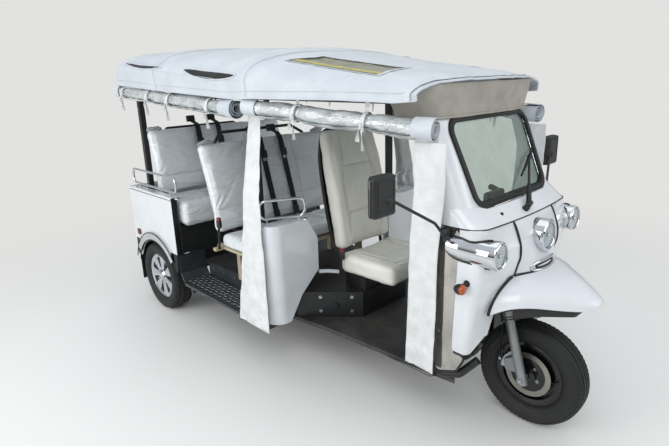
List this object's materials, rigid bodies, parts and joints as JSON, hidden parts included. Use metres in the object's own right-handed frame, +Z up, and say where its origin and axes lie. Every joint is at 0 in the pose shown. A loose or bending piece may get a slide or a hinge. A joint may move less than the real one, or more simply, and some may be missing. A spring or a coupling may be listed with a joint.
{
  "type": "auto rickshaw",
  "caption": "Open electric three-wheeled passenger vehicle with a canvas top, a steered front wheel, a driver's seat and passenger benches.",
  "frame": {"origin": "on the ground, midway between the fender's tip and the rear bumper, on the centre line", "axes": "+X forward, +Y the vehicle's left, +Z up"},
  "size_m": [3.48, 1.736, 2.03],
  "materials": {
    "white_panel": "moulded white panels, gloss",
    "canvas": "coated canvas, pale grey-white",
    "clear_film": "clear plastic film, creased",
    "vinyl": "off-white seat vinyl",
    "black_steel": "black powder coat",
    "silver_steel": "bare and painted steel",
    "polished": "polished",
    "tread_plate": "chequered aluminium plate",
    "alloy": "polished alloy",
    "tyre": "matt",
    "rubber": "matt",
    "black_plastic": "grained",
    "floor_mat": "ribbed mat on board",
    "battery": "matt case",
    "clear_glass": "clear",
    "lens": "fluted lens",
    "signal": "amber and red lens",
    "webbing": "woven black belt webbing",
    "bench_steel": "beige enamel"
  },
  "bodies": {
    "chassis": {"chassis_frame": "black_steel", "battery_pack": "battery", "drive_axle": "black_steel", "floor_pan": "floor_mat", "passenger_deck": "floor_mat", "side_steps": "tread_plate", "rear_quarters": "white_panel", "arch_trims": "polished", "mud_flaps": "rubber", "rear_panel": "white_panel", "rear_bumper": "black_plastic", "rear_bench_box": "black_steel", "mid_pods": "white_panel", "grab_rails": "polished", "driver_seat_box": "black_steel", "driver_cushion": "vinyl", "driver_backrest": "vinyl", "middle_cushion": "vinyl", "middle_backrest": "vinyl", "middle_bench_frame": "bench_steel", "rear_cushion": "vinyl", "rear_backrest": "vinyl", "belt_hoops": "black_steel", "roof_frame": "black_steel", "canopy": "canvas", "visor": "canvas", "roll_ties": "canvas", "seat_belts": "webbing", "skylight_film": "clear_film", "curtain_rolls": "canvas", "pillar_strips": "canvas", "upper_cowl": "white_panel", "windscreen": "clear_glass", "windscreen_seal": "rubber", "leg_shields": "white_panel", "nose_panel": "white_panel", "front_fender": "white_panel", "fender_liner": "black_plastic", "kick_strips": "silver_steel", "dash_panel": "black_plastic", "headlamp_housings": "polished", "lamp_lenses": "lens", "signal_lamps": "signal", "mirrors": "black_plastic", "wiper": "black_plastic"},
    "steering": {"fork": "silver_steel", "handlebar": "black_steel", "brake_caliper": "silver_steel"},
    "front_wheel": {"front_tyre": "tyre", "front_rim": "black_steel", "brake_disc": "silver_steel"},
    "rear_wheel_right": {"rear_tyre_right": "tyre", "rear_rim_right": "alloy"},
    "rear_wheel_left": {"rear_tyre_left": "tyre", "rear_rim_left": "alloy"}
  },
  "joints": [
    {"name": "steering_turn", "type": "hinge", "parent": "chassis", "child": "steering", "pos_m": [1.40119, 0, 0.28], "axis": [-0.2756, 0, 0.9613], "range_deg": [-38, 38]},
    {"name": "front_wheel_spin", "type": "hinge", "parent": "steering", "child": "front_wheel", "pos_m": [1.448, 0, 0.28], "axis": [0, 1, 0], "continuous": true},
    {"name": "rear_wheel_right_spin", "type": "hinge", "parent": "chassis", "child": "rear_wheel_right", "pos_m": [-1.348, -0.648, 0.28], "axis": [0, 1, 0], "continuous": true},
    {"name": "rear_wheel_left_spin", "type": "hinge", "parent": "chassis", "child": "rear_wheel_left", "pos_m": [-1.348, 0.648, 0.28], "axis": [0, 1, 0], "continuous": true}
  ]
}
